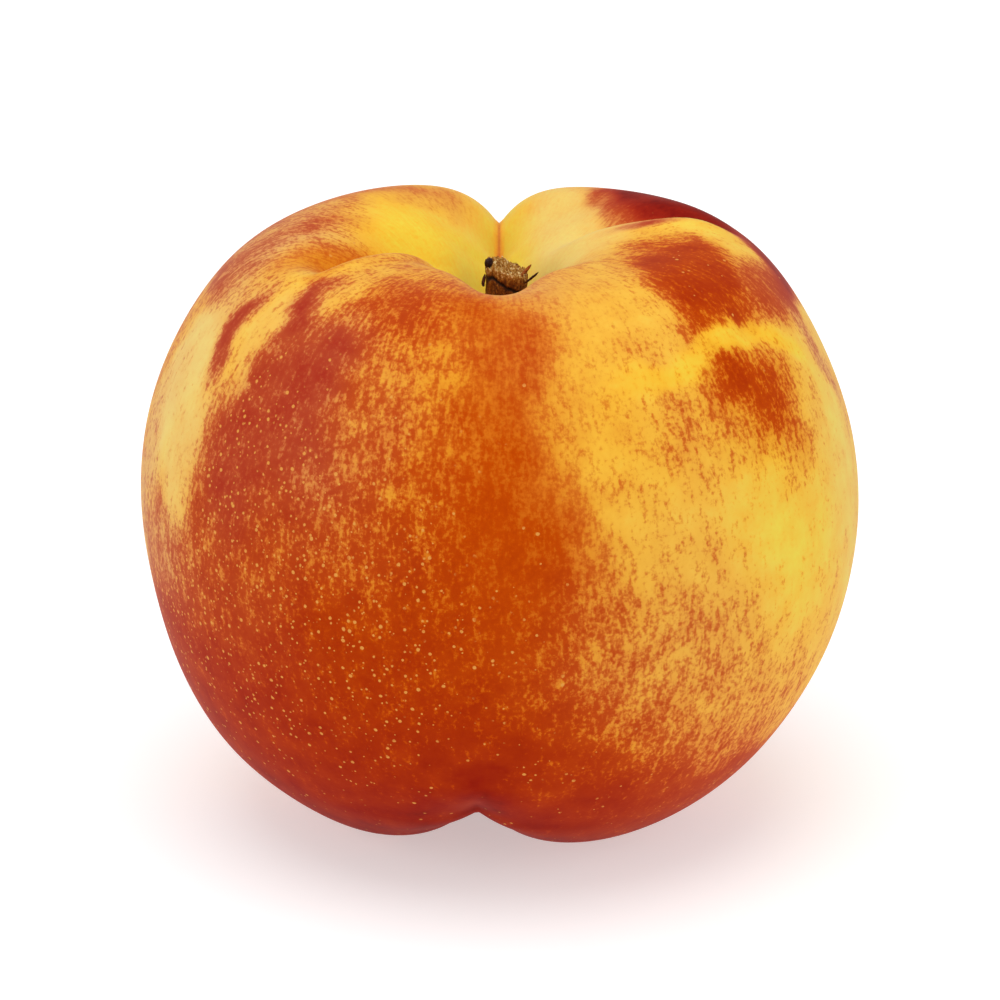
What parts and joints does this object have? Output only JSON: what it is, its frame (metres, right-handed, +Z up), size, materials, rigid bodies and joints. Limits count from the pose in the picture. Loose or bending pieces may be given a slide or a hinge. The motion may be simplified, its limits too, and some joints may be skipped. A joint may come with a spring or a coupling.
{
  "type": "nectarine",
  "caption": "Ripe two-lobed nectarine with a deep stem cavity, a cleft suture, folded shoulders and a torn, dry stem stub.",
  "frame": {"origin": "on the resting plane, under the middle of the fruit", "axes": "+Z up along the stem, the cleft of the suture at the back (+Y), the side seen in the picture towards -Y"},
  "size_m": [0.0714, 0.0688, 0.061],
  "materials": {
    "skin": "satin",
    "torn_wood": "rough",
    "dry_bud": "rough",
    "dry_bark": "rough"
  },
  "bodies": {
    "root": {"fruit": "skin", "stem_stub": "torn_wood", "dry_bud": "dry_bud", "bark_flake": "dry_bark", "bark_spur": "dry_bark", "bark_sliver": "dry_bark"}
  },
  "joints": []
}
